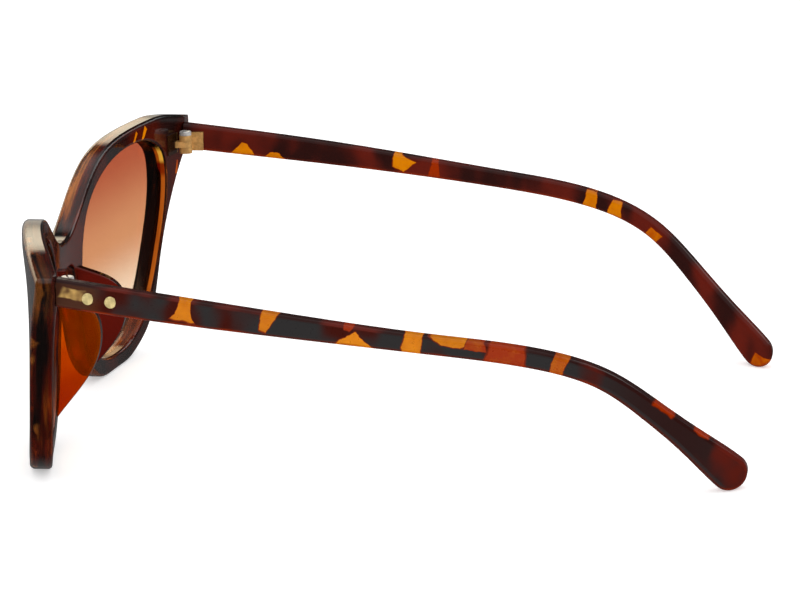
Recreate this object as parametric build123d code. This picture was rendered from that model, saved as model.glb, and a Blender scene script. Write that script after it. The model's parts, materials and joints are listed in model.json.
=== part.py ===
"""Cat eye sunglasses, standing open on a table on both rims and both temple tips.

The shapes below are drawn in millimetres with +Z up, X towards the wearer's left and -Y the way the
wearer looks, with Y = 0 at the joint between the end pieces and the temples. The export moves them
along Y, so that the origin of the finished part is the centre of its footprint on the table.
"""

from build123d import *
import os
from math import asin, cos, degrees, hypot, radians, sin, sqrt

# ---- Front ----
BACK_RADIUS = 208.0  # wrap of the front's back face, about a vertical axis
JOINT_HALF_WIDTH = 67.9  # where the wrapped back face reaches the temple joint, Y = 0
FRONT_THICKNESS = 4.2
FRONT_ROUND = 1.0
BACK_ROUND = 0.8
WING_TIP_ROUND = 1.3
TALL = 120.0  # longer than anything it has to cut

# Left half of the outline as (X, Z): brow and temple side down to the rest, then the nose side
BROW = [(0, 34.0), (8, 35.6), (17, 40.0), (26, 44.0), (38, 46.1), (54, 46.4), (73.0, 43.6)]
SIDE = [(73.0, 43.6), (69.2, 38.0), (63.0, 29.6), (56.8, 16.8), (50.6, 4.6), (44, 1.1), (37, 0)]
NASAL = [(30, 0), (21, 1.9), (13.4, 8.5), (9.2, 18), (6.0, 25.4), (0, 28.2)]

# ---- Lens openings, as (X, Z) ----
OPENING = [
    (12.9, 27.5), (17.6, 35.8), (25.6, 40.0), (35, 42.4), (45.5, 43.1), (53.6, 42.0), (58.4, 39.0), (59.8, 34.0),
    (59.0, 27.5), (56.2, 19.8), (52.0, 11.6), (45.2, 5.2), (34.5, 3.1), (23, 5.2), (15.2, 13.2),
]
OPENING_MIDDLE = (36.0, 23.0)
OPENING_REACH = 22.0  # from the middle to the sides, on average
OPENING_ROUND = 0.6

# ---- Lenses, sprung into a groove around each opening ----
LENS_THICKNESS = 1.8
LENS_SETBACK = 1.3  # front of the lens behind the front of the rim
GROOVE_DEPTH = 0.6
LENS_BEVEL = 0.5
LENS_CLEARANCE = 0.03

# ---- Nose pads: fins behind the nose side of each rim ----
PAD_FACE = [(6.9, 27.8), (10.0, 16.4), (14.2, 8.0), (21.5, 1.4)]  # (X, Z) at the root
PAD_EDGE = [(-12.4, 27.3), (-8.4, 25.6), (-3.9, 22.6), (-2.8, 18.0), (-4.3, 12.6), (-7.8, 7.6), (-12.2, 1.6)]
PAD_ROOT_Y = -14.5
PAD_REACH = 14.0
PAD_THICKNESS = 2.8
PAD_SPLAY = 0.2  # sideways run of the fin for each millimetre towards the face
PAD_ROUND = 0.6
PAD_ROUND_FROM = -10.5  # edges behind this are rounded

# ---- Temples, left one ----
TEMPLE_GAP = 0.1  # between the end piece and the butt of an open temple
TEMPLE_TOP = [(TEMPLE_GAP, 43.1), (34, 38.5), (67, 33.6), (84, 30.8), (97.8, 25.2), (105.6, 18.6), (113.4, 11.4)]
TEMPLE_BOTTOM = [(TEMPLE_GAP, 38.0), (34, 34.1), (67, 30.2), (83, 27.5), (95.8, 22.4), (103, 15.9), (110, 8.1)]
TEMPLE_START = (1, -0.13)  # direction of both lines at the butt
TIP_RADIUS = 3.1
TIP_CENTRE = (118.1, 3.1)
TIP_ANGLES = (44, -136)  # where the round end meets the top and the bottom line
TEMPLE_PLAN = [(67.0, -3), (68.9, 30), (67.7, 60), (64.5, 82), (58.8, 97), (54.0, 104.3), (48.6, 111.7), (42.0, 122)]
TEMPLE_THICKNESS = 3.4
TEMPLE_ROUND = 0.9

# ---- Hinges: three knuckles, the middle one on the front ----
PIN_X, PIN_Y = 62.8, 1.0
KNUCKLE_RADIUS = 1.3
KNUCKLE_HEIGHT = 1.2
KNUCKLE_GAP = 0.04
KNUCKLE_BOTTOM = 37.8
KNUCKLE_WEB = 1.7
LEAF_THICKNESS = 1.0
LEAF_SINK = 0.7  # how far a leaf is sunk into the plastic
LEAF_HEIGHT = 3.7
LEAF_INNER_X = 65.0  # face of the temple leaf towards the wearer's head
TEMPLE_LEAF_START = 0.5
LEAF_LENGTH = 6.0  # rear end of the temple leaf, as Y
FRONT_ARM_X, FRONT_ARM_Y = 61.5, -2.3  # nose side and front of the middle knuckle's arm
FRONT_LEAF = (4.0, 4.2)  # width and height of the leaf in the end piece
FRONT_LEAF_X = 62.4

# ---- Hinge screws ----
SCREW_RADIUS = 0.7
SCREW_HEAD_RADIUS = 1.2
SCREW_HEAD_HEIGHT = 0.8
SCREW_HEAD_ROUND = 0.25
SCREW_SLOT = 0.35  # width and depth
SCREW_TURN = 20.0  # the slot's direction
RUNNING_CLEARANCE = 0.04
SEAT_CLEARANCE = 0.01

# ---- Rivets: two dots on the outside of each temple, at their heads ----
RIVETS = {"front": (69.55, 5.9, 39.8), "rear": (69.85, 10.0, 39.3)}
RIVET_HEAD_RADIUS = 1.1
RIVET_SHANK_RADIUS = 0.6
RIVET_HEAD_HEIGHT = 0.6
RIVET_LENGTH = 2.2

WRAP_CENTRE_Y = sqrt(BACK_RADIUS**2 - JOINT_HALF_WIDTH**2)
STACK_HEIGHT = 3 * KNUCKLE_HEIGHT + 2 * KNUCKLE_GAP


def mirrored(shape):
    return mirror(shape, about=Plane.YZ)


def wrap_cylinder(radius):
    return Pos(0, WRAP_CENTRE_Y, 0) * Cylinder(radius, 2 * TALL)


def on_wrap(edge, radius):
    """Whether an edge lies on the wrap's cylinder of this radius."""
    points = [edge.position_at(t) for t in (0.1, 0.4, 0.8)]
    return all(abs(hypot(p.X, p.Y - WRAP_CENTRE_Y) - radius) < 0.01 for p in points)


def through_front(face):
    """A drawing of the front view, pushed right through the front."""
    return extrude(Plane.XZ * face, amount=TALL / 2, both=True)


def disc(x, y, radius, bottom, top):
    """An upright cylinder between two heights."""
    return Pos(x, y, (bottom + top) / 2) * Cylinder(radius, top - bottom)


def block(low, high):
    """A box between two corners."""
    size = [h - l for l, h in zip(low, high)]
    middle = [(h + l) / 2 for l, h in zip(low, high)]
    return Pos(*middle) * Box(*size)


# ---- Front frame and lenses ----


def front_outline():
    """The half outline and its mirror image, with rounded wing tips."""
    brow = Spline(*BROW, tangents=[(1, 0), (1, -0.22)])
    side = Spline(*SIDE, tangents=[(-0.25, -1), (-1, 0)])
    rest = Line(SIDE[-1], NASAL[0])
    nasal = Spline(*NASAL, tangents=[(-1, 0), (-1, 0)])
    half = [brow, side, rest, nasal]
    face = make_face(half + [mirror(edge, about=Plane.YZ) for edge in half])
    tips = [v for v in face.vertices() if abs(abs(v.X) - BROW[-1][0]) < 0.01]
    return fillet(tips, WING_TIP_ROUND)


def front_blank():
    """The front before it is cut: a wrapped slab with rounded edges and flat butts for the temples."""
    slab = through_front(front_outline()) & wrap_cylinder(BACK_RADIUS + FRONT_THICKNESS)
    slab = slab & block((-TALL, -TALL, -TALL), (TALL, 0, TALL))
    slab = slab - wrap_cylinder(BACK_RADIUS)
    front_edges = [e for e in slab.edges() if on_wrap(e, BACK_RADIUS + FRONT_THICKNESS)]
    slab = fillet(front_edges, FRONT_ROUND)
    back_edges = [e for e in slab.edges() if on_wrap(e, BACK_RADIUS) and e.center().Y < -0.01]
    return fillet(back_edges, BACK_ROUND)


def opening(grow=0.0):
    """The left opening's drawing, grown outwards about its middle."""
    middle = Pos(*OPENING_MIDDLE)
    face = make_face(Spline(*OPENING, periodic=True))
    return middle * scale(middle.inverse() * face, 1 + grow / OPENING_REACH)


def lens_plate(grow, thickness, front_radius):
    """The left lens with a bevel around its rim, or the groove that holds it."""
    plate = through_front(opening(grow)) & wrap_cylinder(front_radius)
    plate = plate - wrap_cylinder(front_radius - thickness)
    plate = max(plate.solids(), key=lambda s: -s.center().Y)
    rims = [e for e in plate.edges() if e.length > TALL]
    return chamfer(rims, LENS_BEVEL)


def make_lens():
    radius = BACK_RADIUS + FRONT_THICKNESS - LENS_SETBACK
    return lens_plate(GROOVE_DEPTH, LENS_THICKNESS, radius)


def lens_groove():
    radius = BACK_RADIUS + FRONT_THICKNESS - LENS_SETBACK + LENS_CLEARANCE
    return lens_plate(GROOVE_DEPTH + LENS_CLEARANCE, LENS_THICKNESS + 2 * LENS_CLEARANCE, radius)


def make_front():
    """The front with rounded openings, lens grooves and pockets for the hinge leaves."""
    hole = through_front(opening())
    front = front_blank() - hole - mirrored(hole)
    rims = [e for e in front.edges() if e.length > TALL]
    front = fillet(rims, OPENING_ROUND)
    for cut in (lens_groove(), front_leaf_pocket()):
        front = front - cut - mirrored(cut)
    return front


# ---- Nose pads ----


def make_pad(front):
    """The left pad: a splayed fin along the nose side of the rim, seated on the rim's back."""
    nose_face = Spline(*PAD_FACE)
    lens_face = Pos(PAD_THICKNESS, 0) * nose_face
    ends = [Line(nose_face @ t, lens_face @ t) for t in (0, 1)]
    section = make_face([nose_face, lens_face] + ends)
    rootward = Plane((0, PAD_ROOT_Y, 0), x_dir=(1, 0, 0), z_dir=(0, -1, 0)) * section
    fin = extrude(rootward, PAD_REACH, dir=(PAD_SPLAY, 1, 0))
    free_edge = Spline(*PAD_EDGE)
    root = Polyline(PAD_EDGE[-1], (PAD_ROOT_Y, PAD_EDGE[-1][1]), (PAD_ROOT_Y, PAD_EDGE[0][1]), PAD_EDGE[0])
    side_view = extrude(Plane.YZ * make_face([free_edge, root]), amount=TALL)
    fin = fin & side_view
    free_edges = [e for e in fin.edges() if e.center().Y > PAD_ROUND_FROM and e.length > 5]
    pad = (fillet(free_edges, PAD_ROUND) & wrap_cylinder(BACK_RADIUS + FRONT_ROUND)) - front
    return max(pad.solids(), key=lambda s: s.volume)


# ---- Temples ----


def on_tip(angle):
    """A point on the round end, by its direction from the end's centre."""
    turn = radians(angle)
    return (TIP_CENTRE[0] + TIP_RADIUS * cos(turn), TIP_CENTRE[1] + TIP_RADIUS * sin(turn))


def temple_side_view():
    first, last = on_tip(TIP_ANGLES[0]), on_tip(TIP_ANGLES[1])
    lowest = on_tip(sum(TIP_ANGLES) / 2)
    tip_run = (sin(radians(TIP_ANGLES[0])), -cos(radians(TIP_ANGLES[0])))
    top = Spline(*TEMPLE_TOP, first, tangents=[TEMPLE_START, tip_run])
    tip = ThreePointArc(first, lowest, last)
    bottom = Spline(*TEMPLE_BOTTOM, last, tangents=[TEMPLE_START, tip_run])
    butt = Line(TEMPLE_BOTTOM[0], TEMPLE_TOP[0])
    return make_face([top, tip, bottom, butt])


def temple_plan_view():
    """A band of constant thickness about the plan's middle line."""
    middle = Spline(*TEMPLE_PLAN)
    steps = [i / 8 for i in range(9)]
    sides = []
    for half in (TEMPLE_THICKNESS / 2, -TEMPLE_THICKNESS / 2):
        across = [(middle % t).rotate(Axis.Z, 90) * half for t in steps]
        sides.append(Spline(*[(middle @ t) + shift for t, shift in zip(steps, across)]))
    ends = [Line(sides[0] @ t, sides[1] @ t) for t in (0, 1)]
    return make_face(sides + ends)


def make_temple():
    """The left temple: its side view crossed with its plan view, with its long edges rounded."""
    bar = extrude(Plane.YZ * temple_side_view(), amount=TALL)
    bar = bar & extrude(temple_plan_view(), amount=TALL)
    bar = bar & block((0, TEMPLE_GAP, -TALL), (TALL, 2 * TALL, TALL))
    long_edges = [e for e in bar.edges() if e.center().Y > TEMPLE_GAP + 0.01 and e.length > 5]
    return fillet(long_edges, TEMPLE_ROUND)


# ---- Hinges ----


def knuckle_span(level):
    """Bottom and top of a knuckle, counted from the lowest one."""
    bottom = KNUCKLE_BOTTOM + level * (KNUCKLE_HEIGHT + KNUCKLE_GAP)
    return bottom, bottom + KNUCKLE_HEIGHT


def knuckle(level, arm, bore):
    """A barrel around the pin with an arm to its leaf."""
    bottom, top = knuckle_span(level)
    barrel = disc(PIN_X, PIN_Y, KNUCKLE_RADIUS, bottom, top)
    return (barrel + arm(bottom, top)) - disc(PIN_X, PIN_Y, bore, bottom - 1, top + 1)


def temple_leaf_plate(grow=0.0):
    """The round-ended leaf in the temple's inner face."""
    middle = KNUCKLE_BOTTOM + LEAF_HEIGHT / 2
    half = LEAF_HEIGHT / 2
    low = (LEAF_INNER_X, TEMPLE_LEAF_START - grow, middle - half - grow)
    high = (LEAF_INNER_X + LEAF_THICKNESS + grow, LEAF_LENGTH - half, middle + half + grow)
    end = Pos(0, LEAF_LENGTH - half, middle) * Rot(0, 90, 0) * Cylinder(half + grow, TALL)
    inside = block((low[0], -TALL, -TALL), (high[0], TALL, TALL))
    return block(low, high) + (end & inside)


def temple_arm(bottom, top):
    return block((PIN_X, PIN_Y - KNUCKLE_WEB / 2, bottom), (LEAF_INNER_X + 0.3, PIN_Y + KNUCKLE_WEB / 2, top))


def make_temple_leaf():
    leaf = temple_leaf_plate()
    leaf = leaf + knuckle(0, temple_arm, SCREW_RADIUS + SEAT_CLEARANCE)
    return leaf + knuckle(2, temple_arm, SCREW_RADIUS + RUNNING_CLEARANCE)


def front_leaf_plate(grow=0.0):
    """The leaf sunk into the back of the end piece, square to the wrap there."""
    width, height = FRONT_LEAF
    middle = KNUCKLE_BOTTOM + STACK_HEIGHT / 2
    turn = degrees(asin(FRONT_LEAF_X / BACK_RADIUS))
    depth = BACK_RADIUS + LEAF_SINK - LEAF_THICKNESS / 2
    plate = Box(width + 2 * grow, LEAF_THICKNESS + 2 * grow, height + 2 * grow)
    return Pos(0, WRAP_CENTRE_Y, middle) * Rot(0, 0, turn) * Pos(0, -depth, 0) * plate


def front_arm(bottom, top, grow=0.0):
    low = (FRONT_ARM_X - grow, FRONT_ARM_Y - grow, bottom - grow)
    return block(low, (FRONT_ARM_X + KNUCKLE_WEB + grow, PIN_Y, top + grow))


def front_leaf_pocket():
    """The hole in the end piece for the leaf and the root of its arm."""
    bottom, top = knuckle_span(1)
    return front_leaf_plate(SEAT_CLEARANCE) + front_arm(bottom, top, SEAT_CLEARANCE)


def make_front_leaf():
    return front_leaf_plate() + knuckle(1, front_arm, SCREW_RADIUS + RUNNING_CLEARANCE)


def make_screw():
    """A slotted cheese-head screw down through the three knuckles."""
    seat = KNUCKLE_BOTTOM + STACK_HEIGHT
    shank = disc(PIN_X, PIN_Y, SCREW_RADIUS, KNUCKLE_BOTTOM, seat)
    head = disc(PIN_X, PIN_Y, SCREW_HEAD_RADIUS, seat, seat + SCREW_HEAD_HEIGHT)
    head = fillet(head.edges().group_by(Axis.Z)[-1], SCREW_HEAD_ROUND)
    slot_floor = seat + SCREW_HEAD_HEIGHT - SCREW_SLOT
    slot = Pos(PIN_X, PIN_Y, slot_floor + 1) * Rot(0, 0, SCREW_TURN) * Box(4, SCREW_SLOT, 2)
    return shank + (head - slot)


# ---- Rivets ----


def rivet(place, grow=0.0):
    """A flat-headed rivet pressed into the temple's outer face, or the hole for it."""
    outward = Pos(*place) * Rot(0, -90, 0)
    head = Pos(0, 0, RIVET_HEAD_HEIGHT / 2) * Cylinder(RIVET_HEAD_RADIUS + grow, RIVET_HEAD_HEIGHT + 2 * grow)
    shank = Pos(0, 0, RIVET_LENGTH / 2) * Cylinder(RIVET_SHANK_RADIUS + grow, RIVET_LENGTH + 2 * grow)
    return outward * (head + shank)


# ---- Assembly ----


def temple_side():
    """The left temple and what rides with it."""
    temple = make_temple() - temple_leaf_plate(SEAT_CLEARANCE)
    pieces = {}
    for name, place in RIVETS.items():
        temple = temple - rivet(place, SEAT_CLEARANCE)
        pieces["temple_rivet_" + name] = rivet(place)
    pieces["temple"] = temple
    pieces["temple_hinge"] = make_temple_leaf()
    pieces["hinge_screw"] = make_screw()
    return pieces


def front_side(front):
    """The lens, pad and hinge leaf of the left half of the front."""
    return {"lens": make_lens(), "nose_pad": make_pad(front), "front_hinge": make_front_leaf()}


def main():
    os.makedirs("parts", exist_ok=True)
    front = make_front()
    nodes = {"front_frame": front}
    for name, shape in {**front_side(front), **temple_side()}.items():
        nodes[name + "_left"] = shape
        nodes[name + "_right"] = mirrored(shape)
    nearest = front.bounding_box().min.Y
    farthest = nodes["temple_left"].bounding_box().max.Y
    to_footprint = Pos(0, -(nearest + farthest) / 2, 0)
    print("joint plane at Y =", to_footprint.position.Y)
    for name, shape in nodes.items():
        export_step(to_footprint * shape, "parts/" + name + ".step")


main()
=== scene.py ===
"""Looks for a pair of cat eye sunglasses in tortoiseshell acetate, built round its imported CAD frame."""

import json
import math

import bmesh
import bpy
from mathutils import Matrix, Vector


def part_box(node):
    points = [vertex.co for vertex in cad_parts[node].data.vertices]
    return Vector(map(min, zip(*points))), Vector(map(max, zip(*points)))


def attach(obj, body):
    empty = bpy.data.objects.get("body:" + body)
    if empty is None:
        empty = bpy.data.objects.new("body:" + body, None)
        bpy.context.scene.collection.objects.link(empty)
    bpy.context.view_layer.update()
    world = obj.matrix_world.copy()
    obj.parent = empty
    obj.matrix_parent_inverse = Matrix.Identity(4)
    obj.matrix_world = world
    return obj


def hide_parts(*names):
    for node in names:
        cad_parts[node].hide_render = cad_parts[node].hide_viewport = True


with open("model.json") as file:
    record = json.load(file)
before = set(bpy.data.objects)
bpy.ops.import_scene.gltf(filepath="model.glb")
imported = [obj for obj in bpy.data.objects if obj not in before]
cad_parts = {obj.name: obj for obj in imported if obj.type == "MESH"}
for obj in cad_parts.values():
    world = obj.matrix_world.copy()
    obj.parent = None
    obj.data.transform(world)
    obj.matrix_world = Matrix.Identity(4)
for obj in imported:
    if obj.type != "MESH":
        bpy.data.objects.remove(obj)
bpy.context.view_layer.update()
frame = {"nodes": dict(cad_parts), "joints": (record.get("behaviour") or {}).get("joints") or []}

MM = 0.001
NODES = frame["nodes"]
SIDES = {"left": 1, "right": -1}

# Where the temples meet the front: distances along a temple are measured from here.
HINGE = Vector(frame["joints"][0]["pos_m"])
JOINT_Y = HINGE.y - 1.0 * MM

# The front's back face lies on an upright cylinder of this radius, centred on X = 0.
WRAP_RADIUS = 208.0
JOINT_HALF_WIDTH = 67.9
WRAP_CENTRE = math.sqrt(WRAP_RADIUS**2 - JOINT_HALF_WIDTH**2)

# Linear colours of the acetate, from the darkest blotches to the clearest patches.
BLACK_BROWN = (0.0100, 0.0040, 0.0035)
RED_BROWN = (0.050, 0.0040, 0.0012)
DEEP_RED = (0.17, 0.014, 0.001)
ORANGE = (0.36, 0.028, 0.0)
AMBER = (0.78, 0.24, 0.0)
ACETATE_IOR = 1.49

# Linear colours of the metals.
GOLD = (0.80, 0.45, 0.15)
RIVET_GOLD = (1.0, 0.80, 0.36)
STEEL = (0.62, 0.61, 0.59)


# ---------------------------------------------------------------- node tools


class Net:
    """Builds one shader node tree with short calls."""

    def __init__(self, tree):
        self.tree = tree
        self.tree.nodes.clear()

    def add(self, kind, inputs=None, **settings):
        """A node of a kind, with its settings, and with values or links put into its named inputs."""
        node = self.tree.nodes.new(kind)
        for name, value in settings.items():
            setattr(node, name, value)
        for name, value in (inputs or {}).items():
            self.put(node.inputs[name], value)
        return node

    def put(self, socket, value):
        """A link if the value is a socket, or else a default value."""
        if isinstance(value, bpy.types.NodeSocket):
            self.tree.links.new(value, socket)
        elif socket.type == "RGBA" and len(value) == 3:
            socket.default_value = (*value, 1)
        else:
            socket.default_value = value

    def math(self, operation, a, b=0.0, clamp=False):
        return self.add("ShaderNodeMath", {0: a, 1: b}, operation=operation, use_clamp=clamp).outputs[0]

    def times(self, first, *others):
        """The product of all the values."""
        for value in others:
            first = self.math("MULTIPLY", first, value)
        return first

    def plus(self, first, *others):
        """The sum of all the values."""
        for value in others:
            first = self.math("ADD", first, value)
        return first

    def inverse(self, value):
        """1 minus the value."""
        return self.math("SUBTRACT", 1.0, value)

    def step(self, value, low, high):
        """0 at low and 1 at high, smooth between them. Low may be the larger of the two."""
        inputs = {"Value": value, "From Min": low, "From Max": high}
        return self.add("ShaderNodeMapRange", inputs, interpolation_type="SMOOTHSTEP").outputs[0]

    def hump(self, value, rise, fall):
        """1 between two soft edges, each given as (where it is 0, where it is 1)."""
        return self.times(self.step(value, *rise), self.step(value, *fall))

    def between(self, value, out_low, out_high):
        """A 0 to 1 value spread over a new range."""
        inputs = {"Value": value, "To Min": out_low, "To Max": out_high}
        return self.add("ShaderNodeMapRange", inputs).outputs[0]

    def mix(self, factor, a, b):
        node = self.add("ShaderNodeMix", data_type="RGBA")
        self.put(node.inputs[0], factor)
        self.put(node.inputs[6], a)
        self.put(node.inputs[7], b)
        return node.outputs[2]

    def vector(self, operation, a, b):
        return self.add("ShaderNodeVectorMath", {0: a, 1: b}, operation=operation).outputs[0]

    def scaled(self, vector, factor):
        inputs = {0: vector, "Scale": factor}
        return self.add("ShaderNodeVectorMath", inputs, operation="SCALE").outputs[0]

    def parts(self, vector):
        """The X, Y and Z of a vector."""
        return self.add("ShaderNodeSeparateXYZ", {"Vector": vector}).outputs

    def joined(self, **parts):
        """A vector from its X, Y and Z."""
        return self.add("ShaderNodeCombineXYZ", parts).outputs[0]

    def noise(self, vector, scale, detail=2.0, roughness=0.5):
        inputs = {"Vector": vector, "Scale": scale, "Detail": detail, "Roughness": roughness}
        return self.add("ShaderNodeTexNoise", inputs).outputs

    def normal(self):
        """The X, Y and Z of the surface normal."""
        return self.parts(self.add("ShaderNodeTexCoord").outputs["Normal"])

    def facing(self):
        """0 where the surface looks at the camera and 1 where it turns away."""
        return self.add("ShaderNodeLayerWeight", {"Blend": 0.5}).outputs["Facing"]

    def bump(self, height, strength, distance):
        inputs = {"Height": height, "Strength": strength, "Distance": distance}
        return self.add("ShaderNodeBump", inputs).outputs[0]

    def millimetres(self):
        """Position on the object in millimetres, with Y measured from the joint."""
        place = self.add("ShaderNodeTexCoord").outputs["Object"]
        return self.scaled(self.vector("SUBTRACT", place, (0, JOINT_Y, 0)), 1 / MM)

    def output(self, shader):
        self.add("ShaderNodeOutputMaterial", {"Surface": shader})


def material(name):
    made = bpy.data.materials.new(name)
    made.use_nodes = True
    return made, Net(made.node_tree)


def principled(net, **inputs):
    """A Principled shader; an underscore in an input's name stands for a space."""
    named = {name.replace("_", " "): value for name, value in inputs.items()}
    return net.add("ShaderNodeBsdfPrincipled", named).outputs[0]


def paint(obj, made):
    """One material over the whole object."""
    obj.data.materials.clear()
    obj.data.materials.append(made)


# ---------------------------------------------------------------- patches and clouds


def patch_group():
    """A node group that masks one patch: |u| < 1 + taper v + waist v², |v| < 1."""
    tree = bpy.data.node_groups.new("patch", "ShaderNodeTree")
    face = tree.interface
    face.new_socket("Place", in_out="INPUT", socket_type="NodeSocketVector")
    for name in ("Taper", "Waist", "Soft"):
        face.new_socket(name, in_out="INPUT", socket_type="NodeSocketFloat")
    face.new_socket("Mask", in_out="OUTPUT", socket_type="NodeSocketFloat")
    net = Net(tree)
    given = net.add("NodeGroupInput").outputs
    u, v = net.parts(given["Place"])[1:3]
    width = net.plus(1.0, net.times(given["Taper"], v))
    width = net.plus(width, net.times(given["Waist"], net.times(v, v)))
    inside = net.math("SUBTRACT", width, net.math("ABSOLUTE", u))
    within = net.inverse(net.math("ABSOLUTE", v))
    edge = net.math("MINIMUM", inside, within)
    net.add("NodeGroupOutput", {"Mask": net.step(edge, 0.0, given["Soft"])})
    return tree


PATCH = patch_group()
PATCH_SOFTNESS = 0.28


def patch_mask(net, place, patch):
    """The mask of one patch, given as (y, z, half length, half height, tilt in degrees, taper, waist)."""
    y, z, length, height, tilt, taper, waist = patch
    local = net.add("ShaderNodeMapping", {"Vector": place}, vector_type="TEXTURE")
    local.inputs["Location"].default_value = (0, y, z)
    local.inputs["Rotation"].default_value = (math.radians(tilt), 0, 0)
    local.inputs["Scale"].default_value = (1, length, height)
    inputs = {"Place": local.outputs[0], "Taper": taper, "Waist": waist, "Soft": PATCH_SOFTNESS}
    group = net.add("ShaderNodeGroup", node_tree=PATCH)
    for name, value in inputs.items():
        net.put(group.inputs[name], value)
    return group.outputs["Mask"]


def wavy(net, place, size=0.55):
    """A position pushed about by up to size millimetres, so that no patch has a straight edge."""
    push = net.vector("SUBTRACT", net.noise(place, 0.42, 3.0)["Color"], (0.5, 0.5, 0.5))
    return net.vector("ADD", place, net.scaled(push, 2 * size))


def blotches(net, place, seed, low, high, scale=0.16):
    """Broad patches of the cloudy ground colour."""
    shifted = net.vector("ADD", place, (seed * 17.0, seed * 5.0, seed * 29.0))
    stretched = net.vector("MULTIPLY", shifted, (0.6, 0.75, 0.45))
    return net.step(net.noise(stretched, scale, 1.5)["Fac"], low, high)


def clear_colour(net, place, tone):
    """The colour inside a clear patch: tone 0 is orange and 1 is amber, with faint clouds."""
    clouds = net.between(net.noise(place, 0.5, 4.0)["Fac"], -0.45, 0.35)
    factor = net.math("ADD", clouds, tone, clamp=True)
    return net.mix(factor, ORANGE, AMBER)


def polish(net, place, low, high):
    """The uneven roughness of hand-polished acetate."""
    return net.between(net.noise(place, 1.6, 3.0)["Fac"], low, high)


def ripple(net, place):
    """The faint waves that hand polishing leaves."""
    return net.bump(net.noise(place, 0.35, 2.0)["Fac"], 0.05, 0.0004)


# ---------------------------------------------------------------- temples

# The two ends of the ground's clouds, on the glossy inner side and on the satin outer side. On the outer
# side the near-black is lightened to grey as a painted satin sheen.
INNER_DARK = (0.024, 0.006, 0.005)
OUTER_DARK_SHEEN = (0.026, 0.024, 0.024)
INNER_RED = (0.110, 0.011, 0.006)
OUTER_RED = RED_BROWN

# Light that gathers along the lower edge, the clearing over the hinge leaf, and the leaf seen through it.
EDGE_GLOW = (0.22, 0.022, 0.002)
LEAF_GROUND = (0.085, 0.022, 0.006)
LEAF_GOLD = (0.56, 0.34, 0.10)

# The clouds of each temple's ground: their seed, and how readily near-black turns to red-brown.
GROUND = {"left": (1, 0.50, 0.66), "right": (2, 0.38, 0.60)}

# Distance from the joint over which the clearing round the hinge leaf fades out.
LEAF_FADE = (6.5, 9.0)

# The hinge leaf that shows through the end of each temple, in the form of a patch.
LEAF_SHADOW = (3.3, 40.6, 2.7, 1.1, -10, -0.2, 0.0)

# How much rougher the satin outer side is, and how clear a patch is.
SATIN = 0.20
PATCH_CLARITY = 0.2

# Clear patches of each temple: y from the joint, z above the table, half length, half height, tilt,
# taper, waist, and tone (0 orange, 1 amber). A half height over 4 reaches past both edges.
PATCHES = {
    "left": [
        (23.4, 39.4, 1.25, 3.6, -10, 0.25, 1.6, 0.9),
        (38.4, 37.6, 1.7, 3.8, -22, 0.75, 0.2, 0.75),
        (52.6, 36.2, 1.4, 1.6, -20, 0.6, 0.0, -0.5),
        (53.4, 33.0, 2.5, 1.9, -7, -0.95, 0.0, 1.0),
        (63.7, 33.0, 1.9, 6.0, -7, 0.0, 0.2, 0.95),
        (70.6, 33.3, 4.9, 1.8, -8, 0.65, 0.0, 0.85),
        (74.6, 32.0, 2.0, 1.1, -9, -0.2, 0.0, 0.1),
        (80.0, 30.4, 3.7, 6.0, -9, -0.3, 0.0, 0.05),
        (89.3, 28.4, 1.5, 6.0, -22, 0.2, 0.0, 0.35),
        (107.8, 18.4, 3.4, 2.2, -42, 0.3, 0.0, -0.1),
        (114.2, 12.4, 2.6, 1.7, -42, 0.3, 0.0, -0.3),
    ],
    "right": [
        (12.2, 37.4, 2.1, 1.9, -10, -0.7, 0.0, 1.0),
        (18.6, 36.2, 2.2, 1.2, -8, -0.6, 0.0, 0.9),
        (44.6, 35.2, 2.2, 1.7, -28, 0.3, 0.0, 1.0),
        (51.2, 33.4, 1.2, 5.0, -8, -0.5, 0.0, 0.0),
        (83.4, 29.0, 1.5, 2.2, -12, -0.2, 0.0, 0.8),
        (88.6, 27.6, 1.5, 2.1, -16, -0.2, 0.0, 0.8),
        (96.2, 22.9, 1.7, 1.7, -36, 0.0, 0.0, 0.4),
        (119.0, 1.2, 2.2, 1.5, -20, 0.0, 0.0, 0.3),
    ],
}


def outer_side(net):
    """1 on faces that look away from the wearer's head, on either temple."""
    side = net.math("SIGN", net.parts(net.millimetres())[0])
    return net.step(net.times(net.normal()[0], side), 0.75, 0.97)


def with_patches(net, place, colour, patches):
    """The ground colour with clear patches in it, each with a red rim, and a mask of the patches."""
    clear = 0.0
    for *shape, tone in patches:
        mask = patch_mask(net, place, shape)
        rim = net.step(mask, 0.0, 0.35)
        core = net.step(mask, 0.35, 0.75)
        colour = net.mix(rim, colour, DEEP_RED)
        colour = net.mix(core, colour, clear_colour(net, place, tone))
        clear = net.math("MAXIMUM", clear, core)
    return colour, clear


def with_leaf(net, place, colour, outer):
    """The colour with a clearing near the joint, on the outer side, where the hinge leaf shows."""
    seen = net.times(net.inverse(net.step(net.parts(place)[1], *LEAF_FADE)), outer)
    colour = net.mix(net.times(seen, 0.7), colour, LEAF_GROUND)
    blur = net.between(net.noise(place, 0.6, 1.0)["Fac"], -0.6, 1.8)
    blur = net.math("MULTIPLY", blur, seen, clamp=True)
    return net.mix(net.times(patch_mask(net, place, LEAF_SHADOW), blur), colour, LEAF_GOLD)


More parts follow.
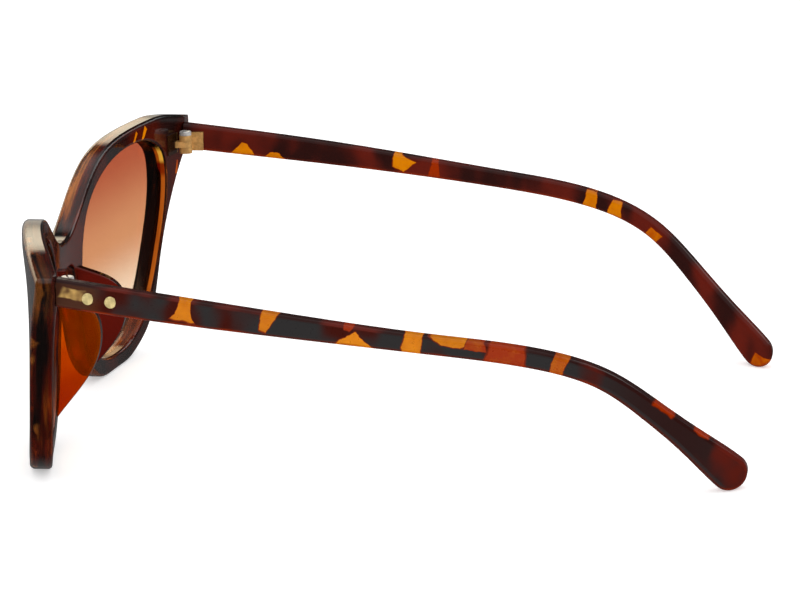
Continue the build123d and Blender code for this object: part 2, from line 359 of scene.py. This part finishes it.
def temple_acetate(side):
    """Polished tortoiseshell: near-black and red-brown clouds, and clear patches with soft rims."""
    made, net = material(f"temple_acetate_{side}")
    place = wavy(net, net.millimetres())
    outer = outer_side(net)
    cloud = blotches(net, place, *GROUND[side])
    # Painted sheen: on the outer side the near-black is grey.
    dark = net.mix(outer, INNER_DARK, OUTER_DARK_SHEEN)
    red = net.mix(outer, INNER_RED, OUTER_RED)
    colour, clear = with_patches(net, place, net.mix(cloud, dark, red), PATCHES[side])
    downward = net.times(net.normal()[2], -1.0)
    glow = net.times(net.step(downward, 0.15, 0.8), net.between(cloud, 0.25, 0.9))
    colour = net.mix(glow, colour, EDGE_GLOW)
    colour = with_leaf(net, place, colour, outer)
    rough = net.plus(polish(net, place, 0.05, 0.12), net.times(outer, SATIN))
    shader = principled(
        net, Base_Color=colour, Roughness=rough, IOR=ACETATE_IOR, Specular_IOR_Level=0.14,
        Transmission_Weight=net.between(clear, 0.0, PATCH_CLARITY), Normal=ripple(net, place),
    )
    net.output(shader)
    return made


# ---------------------------------------------------------------- front

# Colours of the front's edges, from the darkest layer of the sheet to its clearest flecks.
EDGE_RED = (0.10, 0.008, 0.002)
EDGE_BROWN = (0.34, 0.075, 0.006)
EDGE_FLECK = (0.55, 0.17, 0.02)
EDGE_CREST = (0.42, 0.13, 0.02)

# The two ends of the clouds on its faces, and the painted shade of surfaces seen at a grazing angle, which
# stands in for the dark look of thick rounded edges.
FACE_DARK = (0.012, 0.005, 0.0045)
FACE_RED = (0.065, 0.006, 0.002)
GRAZING_SHADE = (0.012, 0.004, 0.003)

# Light in the openings' outer walls: streaks low down, a brown gap, and yellow at the top.
WALL_BROWN = (0.26, 0.035, 0.001)
WALL_ORANGE = (0.58, 0.14, 0.012)
WALL_GAP = (0.28, 0.030, 0.001)
WALL_YELLOW = (0.95, 0.55, 0.06)

# Clear streaks on the back of the front's brow, as patches of distance from the middle and height.
BROW_STREAKS = [
    (45.9, 44.1, 0.40, 1.7, -39, 0.1, 0.0, 0.7),
    (50.2, 44.1, 0.55, 1.8, -39, 0.4, 0.0, 0.8),
    (64.3, 34.6, 0.35, 1.5, -12, -0.3, 0.0, 0.2),
]


def sheet_depth(net, x, y):
    """Distance behind the front's curved back face, towards its front face, in millimetres."""
    flat = net.joined(X=x, Y=net.math("SUBTRACT", y, WRAP_CENTRE))
    reach = net.add("ShaderNodeVectorMath", {0: flat}, operation="LENGTH").outputs["Value"]
    return net.math("SUBTRACT", reach, WRAP_RADIUS)


def sheet_streaks(net, x, z, depth):
    """Noise drawn out into layers that run along the sheet."""
    layers = net.joined(X=net.times(depth, 0.55), Y=net.times(x, 0.03), Z=net.times(z, 0.05))
    return net.noise(layers, 1.0, 2.5, 0.55)["Fac"]


def edge_colour(net, place, z, depth, streak):
    """The front's edges, where the layers of the sheet show."""
    colour = net.mix(net.step(streak, 0.40, 0.56), BLACK_BROWN, EDGE_RED)
    colour = net.mix(net.step(streak, 0.54, 0.66), colour, EDGE_BROWN)
    fleck = net.times(blotches(net, place, 5, 0.50, 0.58, 0.30), net.step(depth, 2.3, 3.4))
    colour = net.mix(fleck, colour, EDGE_FLECK)
    crest = net.times(net.step(z, 33.0, 38.0), net.step(depth, 1.2, 2.6))
    return net.mix(net.times(crest, net.step(streak, 0.36, 0.55)), colour, EDGE_CREST)


def face_colour(net, place, x, z):
    """The front's faces: near-black and red-brown clouds, with clear streaks on the brow."""
    colour = net.mix(blotches(net, place, 3, 0.42, 0.62, 0.10), FACE_DARK, FACE_RED)
    spot = net.joined(Y=net.math("ABSOLUTE", x), Z=z)
    for *shape, tone in BROW_STREAKS:
        mask = patch_mask(net, wavy(net, spot, 0.2), shape)
        colour = net.mix(net.step(mask, 0.0, 0.5), colour, clear_colour(net, place, tone))
    return colour


def wall_band(net, z, depth):
    """A band next to the back face, wider at the top."""
    width = net.between(net.step(z, 33.5, 36.0), 1.25, 1.9)
    return net.times(net.step(depth, 0.2, 0.4), net.step(net.math("DIVIDE", depth, width), 1.0, 0.8))


def wall_light(net, z, streak):
    """The colour of the light that comes out of the openings' outer walls."""
    colour = net.mix(net.step(streak, 0.40, 0.55), WALL_BROWN, WALL_ORANGE)
    colour = net.mix(net.step(z, 33.0, 34.5), colour, WALL_GAP)
    return net.mix(net.step(z, 36.0, 37.2), colour, WALL_YELLOW)


def front_acetate():
    """The front's acetate: cloudy on its faces, streaked where its edges look into the sheet."""
    made, net = material("front_acetate")
    exact = net.millimetres()
    place = wavy(net, exact)
    x, y, z = net.parts(exact)
    depth = sheet_depth(net, x, y)
    streak = sheet_streaks(net, x, z, depth)
    normal = net.normal()
    across = net.step(net.math("ABSOLUTE", normal[1]), 0.80, 0.95)
    edges = edge_colour(net, place, z, depth, streak)
    colour = net.mix(across, edges, face_colour(net, place, x, z))
    # Light let in by the temple sides comes out of the openings' outer walls as clear amber.
    inward = net.times(normal[0], net.math("SIGN", x), -1.0)
    wall = net.times(net.step(inward, 0.55, 0.85), net.step(net.math("ABSOLUTE", x), 48.0, 53.0))
    glow = net.times(wall, wall_band(net, z, depth))
    colour = net.mix(wall, colour, BLACK_BROWN)
    colour = net.mix(glow, colour, wall_light(net, z, streak))
    # Painted shade where the surface turns away from the camera.
    colour = net.mix(net.step(net.facing(), 0.80, 0.98), colour, GRAZING_SHADE)
    through = net.math("SUBTRACT", 0.8, net.times(glow, 0.7))
    shader = principled(
        net, Base_Color=colour, Roughness=polish(net, place, 0.04, 0.10), IOR=ACETATE_IOR,
        Transmission_Weight=net.times(through, net.inverse(across)), Specular_IOR_Level=0.36,
        Normal=ripple(net, place),
    )
    net.output(shader)
    return made


# ---------------------------------------------------------------- nose pads

# The right pad is coloured a much darker red than the left, and hides more: low and high body colours, low
# and high clear colours, and how much each pad hides.
PAD_COLOURS = {
    "left": ((0.50, 0.065, 0.0), (0.76, 0.16, 0.0), (0.56, 0.10, 0.002), (0.76, 0.28, 0.004), 0.2),
    "right": ((0.10, 0.006, 0.003), (0.15, 0.009, 0.004), (0.10, 0.004, 0.002), (0.15, 0.008, 0.002), 0.75),
}
PAD_EDGE_SHADE = (0.02, 0.003, 0.001)


def pad_acetate(side):
    """Clear acetate, redder at the bottom, with painted shade where it turns away."""
    body_low, body_high, clear_low, clear_high, density = PAD_COLOURS[side]
    made, net = material(f"pad_acetate_{side}")
    place = wavy(net, net.millimetres())
    cloud = net.step(net.noise(place, 0.25, 3.0)["Fac"], 0.38, 0.66)
    high = net.times(net.step(net.parts(place)[2], 5.0, 21.0), net.between(cloud, 0.7, 1.0))
    # Painted shade: the pad turns dark and hides more where it turns away from the camera.
    edge = net.step(net.facing(), 0.36, 0.62)
    colour = net.mix(edge, net.mix(high, body_low, body_high), PAD_EDGE_SHADE)
    body = principled(
        net, Base_Color=colour, Roughness=polish(net, place, 0.04, 0.10), IOR=ACETATE_IOR,
        Specular_IOR_Level=0.28,
    )
    clear = net.add("ShaderNodeBsdfTransparent", {"Color": net.mix(high, clear_low, clear_high)})
    inputs = {0: net.between(edge, density, 1.0), 1: clear.outputs[0], 2: body}
    net.output(net.add("ShaderNodeMixShader", inputs).outputs[0])
    return made


# ---------------------------------------------------------------- metal

# The acetate that has flowed over a sunk leaf, and the distances from the joint where it begins and ends.
SUNK_DARK = (0.035, 0.012, 0.004)
SUNK_FADE = (-0.7, -1.1)
STAIN_SHADE = 0.62


def metal(name, colour, roughness, grain, sunk=False):
    """Plated or turned metal with fine scratches. Sunk metal is dark where acetate covers its leaf."""
    made, net = material(name)
    place = net.millimetres()
    fine = net.noise(net.vector("MULTIPLY", place, (6.0, 1.0, 6.0)), grain, 5.0, 0.6)["Fac"]
    stain = net.noise(place, 0.9, 3.0)["Fac"]
    dull = tuple(part * STAIN_SHADE for part in colour)
    tone = net.mix(net.step(stain, 0.35, 0.7), dull, colour)
    if sunk:
        tone = net.mix(net.step(net.parts(place)[1], *SUNK_FADE), tone, SUNK_DARK)
    rough = net.between(fine, roughness * 0.7, roughness * 1.5)
    scratches = net.bump(fine, 0.12, 0.00005)
    net.output(principled(net, Base_Color=tone, Metallic=0.25, Roughness=rough, Normal=scratches))
    return made


# Half the section of a rivet, from its domed top to the end of its shank: radius and height over the
# temple's face, both in millimetres.
RIVET_TOP = 0.16
RIVET_SECTION = [
    (0.28, 0.155), (0.56, 0.13), (0.80, 0.08), (0.98, 0.01), (1.07, -0.07), (1.10, -0.17), (1.10, -0.60),
    (0.60, -0.60), (0.60, -2.20),
]
RIVET_STEPS = 48


def rivet_verts(sign):
    """The points of a rivet with its axis along X: its top, then ring after ring, then its end."""
    verts = [(sign * RIVET_TOP * MM, 0, 0)]
    for radius, height in RIVET_SECTION:
        for k in range(RIVET_STEPS):
            turn = 2 * math.pi * k / RIVET_STEPS
            verts.append((sign * height * MM, radius * MM * math.cos(turn), radius * MM * math.sin(turn)))
    verts.append((sign * RIVET_SECTION[-1][1] * MM, 0, 0))
    return verts


def rivet_faces(sign, last):
    """The faces between those points, turned outwards; last is the index of the end point."""
    faces = []
    for k in range(RIVET_STEPS):
        after = (k + 1) % RIVET_STEPS
        faces.append((0, 1 + k, 1 + after))
        for ring in range(len(RIVET_SECTION) - 1):
            start = 1 + ring * RIVET_STEPS
            below = start + RIVET_STEPS
            faces.append((start + k, below + k, below + after, start + after))
        faces.append((last - RIVET_STEPS + after, last - RIVET_STEPS + k, last))
    if sign < 0:
        faces = [tuple(reversed(face)) for face in faces]
    return faces


def rivet(side, place, made):
    """A smooth, slightly domed rivet in place of a temple's CAD rivet."""
    node = f"temple_rivet_{place}_{side}"
    low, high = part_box(node)
    sign = SIDES[side]
    face = high.x if sign > 0 else low.x
    verts = rivet_verts(sign)
    mesh = bpy.data.meshes.new(f"rivet_{place}_{side}")
    mesh.from_pydata(verts, [], rivet_faces(sign, len(verts) - 1))
    mesh.polygons.foreach_set("use_smooth", [True] * len(mesh.polygons))
    piece = bpy.data.objects.new(f"rivet_{place}_{side}", mesh)
    piece.location = Vector((face, (low.y + high.y) / 2, (low.z + high.z) / 2))
    bpy.context.scene.collection.objects.link(piece)
    paint(piece, made)
    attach(piece, f"{side}_temple")
    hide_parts(node)


# ---------------------------------------------------------------- lenses

LENS_TOP = (0.37, 0.080, 0.036)
LENS_MIDDLE = (0.55, 0.24, 0.11)
LENS_LOW = (0.82, 0.64, 0.46)

# The share of the mirror-like reflection that the lenses' coating leaves.
LENS_GLOSS = 0.12


def lens_material():
    """Clear plastic tinted from red-brown at the top to pale beige, with a clean gloss."""
    made, net = material("lens_tint")
    low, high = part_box("lens_left")
    z = net.parts(net.add("ShaderNodeTexCoord").outputs["Object"])[2]
    inputs = {"Value": z, "From Min": low.z, "From Max": high.z}
    up = net.add("ShaderNodeMapRange", inputs).outputs[0]
    mottle = net.between(net.noise(net.millimetres(), 0.05, 2.0)["Fac"], -0.04, 0.04)
    up = net.plus(up, mottle)
    lower = net.mix(net.step(up, 0.15, 0.55), LENS_LOW, LENS_MIDDLE)
    tint = net.mix(net.step(up, 0.5, 0.95), lower, LENS_TOP)
    # A look through the lens crosses two surfaces, so each one has the square root of the tint.
    root = net.add("ShaderNodeGamma", {"Color": tint, "Gamma": 0.5}).outputs[0]
    clear = net.add("ShaderNodeBsdfTransparent", {"Color": root}).outputs[0]
    gloss = net.add("ShaderNodeBsdfGlossy", {"Color": (1, 1, 1), "Roughness": 0.03}).outputs[0]
    fresnel = net.add("ShaderNodeFresnel", {"IOR": 1.45}).outputs[0]
    inputs = {0: net.times(fresnel, LENS_GLOSS), 1: clear, 2: gloss}
    net.output(net.add("ShaderNodeMixShader", inputs).outputs[0])
    return made


# ---------------------------------------------------------------- set

WHITE = (1.0, 1.0, 1.0)
WARM_WHITE = (1.0, 0.86, 0.64)

# Brightness of what the glossy surfaces mirror: a band on the far wall and the dimmer wall under it, a
# panel behind the temples, the ceiling, the floor, and everything else.
BAND_LIGHT = 2.3
WALL_LIGHT = 0.7
PANEL_LIGHT = 1.6
CEILING_LIGHT = 0.75
FLOOR_LIGHT = 0.10
DIM_LIGHT = 0.05

FLOOR_SIZE = 6.0
FLOOR_DROP = 0.02 * MM
FLOOR_GREY = 0.93
FLOOR_GLOW = 0.42


def studio():
    """Even white light. Glossy surfaces mirror a dim room with a warm band, a panel and a bright ceiling."""
    world = bpy.data.worlds.new("studio")
    bpy.context.scene.world = world
    world.use_nodes = True
    net = Net(world.node_tree)
    x, y, z = net.parts(net.add("ShaderNodeTexCoord").outputs["Generated"])
    behind = net.step(net.times(x, -1.0), 0.1, 0.5)
    band = net.times(net.hump(z, (0.10, 0.25), (0.50, 0.38)), BAND_LIGHT)
    wall = net.times(net.hump(z, (-0.16, 0.05), (0.25, 0.10)), WALL_LIGHT)
    band = net.times(net.plus(band, wall), behind, net.step(y, -0.12, -0.15))
    panel = net.times(net.hump(y, (0.35, 0.45), (0.75, 0.65)), net.hump(z, (0.25, 0.4), (0.8, 0.65)))
    panel = net.times(panel, behind, PANEL_LIGHT)
    ceiling = net.times(net.step(z, 0.55, 0.8), CEILING_LIGHT)
    below = net.times(net.step(z, 0.1, -0.1), behind, FLOOR_LIGHT)
    mirrored = net.plus(net.plus(band, ceiling), net.plus(below, DIM_LIGHT), panel)
    is_glossy = net.add("ShaderNodeLightPath").outputs["Is Glossy Ray"]
    strength = net.plus(net.times(is_glossy, mirrored), net.inverse(is_glossy))
    warmth = net.math("MULTIPLY", is_glossy, band, clamp=True)
    inputs = {"Color": net.mix(warmth, WHITE, WARM_WHITE), "Strength": strength}
    shade = net.add("ShaderNodeBackground", inputs)
    net.add("ShaderNodeOutputWorld", {"Surface": shade.outputs[0]})


def floor():
    """A plain pale floor that the glasses stand on, unseen by glossy surfaces."""
    mesh = bpy.data.meshes.new("floor")
    grid = bmesh.new()
    bmesh.ops.create_grid(grid, x_segments=1, y_segments=1, size=FLOOR_SIZE)
    grid.to_mesh(mesh)
    grid.free()
    plane = bpy.data.objects.new("floor", mesh)
    bpy.context.scene.collection.objects.link(plane)
    plane.location.z = -FLOOR_DROP
    plane.visible_glossy = False
    made, net = material("pale_floor")
    shade = net.add("ShaderNodeBsdfDiffuse", {"Color": (FLOOR_GREY, FLOOR_GREY, FLOOR_GREY)}).outputs[0]
    glow = net.add("ShaderNodeEmission", {"Color": WHITE, "Strength": FLOOR_GLOW}).outputs[0]
    net.output(net.add("ShaderNodeAddShader", {0: shade, 1: glow}).outputs[0])
    paint(plane, made)


def camera():
    """The camera looks at the open glasses from the wearer's left and a little behind."""
    azimuth, elevation, roll = math.radians(7.449), math.radians(13.837), math.radians(-0.9196)
    distance, lens = 938.85 * MM, 222.07
    target = Vector((0, -0.226 * MM, 23.256 * MM))
    flat = math.cos(elevation)
    back = Vector((math.cos(azimuth) * flat, math.sin(azimuth) * flat, math.sin(elevation)))
    right = Vector((-math.sin(azimuth), math.cos(azimuth), 0))
    up = right.cross(-back)
    turned = right * math.cos(roll) + up * math.sin(roll)
    upright = -right * math.sin(roll) + up * math.cos(roll)
    axes = Matrix((turned, upright, back)).transposed().to_4x4()
    data = bpy.data.cameras.new("camera")
    data.lens = lens
    data.clip_start = 0.01
    made = bpy.data.objects.new("camera", data)
    made.matrix_world = Matrix.Translation(target + back * distance) @ axes
    bpy.context.scene.collection.objects.link(made)
    bpy.context.scene.camera = made


# ---------------------------------------------------------------- assembly


def dress():
    """A material on every CAD node, and smooth rivets in place of the CAD ones."""
    gold = metal("hinge_gold", GOLD, 0.22, 1.2)
    sunk_gold = metal("hinge_gold_sunk", GOLD, 0.22, 1.2, sunk=True)
    bright_gold = metal("rivet_gold", RIVET_GOLD, 0.2, 2.0)
    steel = metal("screw_steel", STEEL, 0.2, 2.0)
    lens = lens_material()
    pads = {side: pad_acetate(side) for side in SIDES}
    paint(NODES["front_frame"], front_acetate())
    for side in SIDES:
        paint(NODES[f"lens_{side}"], lens)
        paint(NODES[f"temple_{side}"], temple_acetate(side))
        paint(NODES[f"front_hinge_{side}"], sunk_gold)
        paint(NODES[f"temple_hinge_{side}"], gold)
        paint(NODES[f"hinge_screw_{side}"], steel)
        paint(NODES[f"nose_pad_{side}"], pads[side])
        for place in ("front", "rear"):
            rivet(side, place, bright_gold)


bpy.context.scene.view_settings.view_transform = "Standard"
studio()
floor()
camera()
dress()
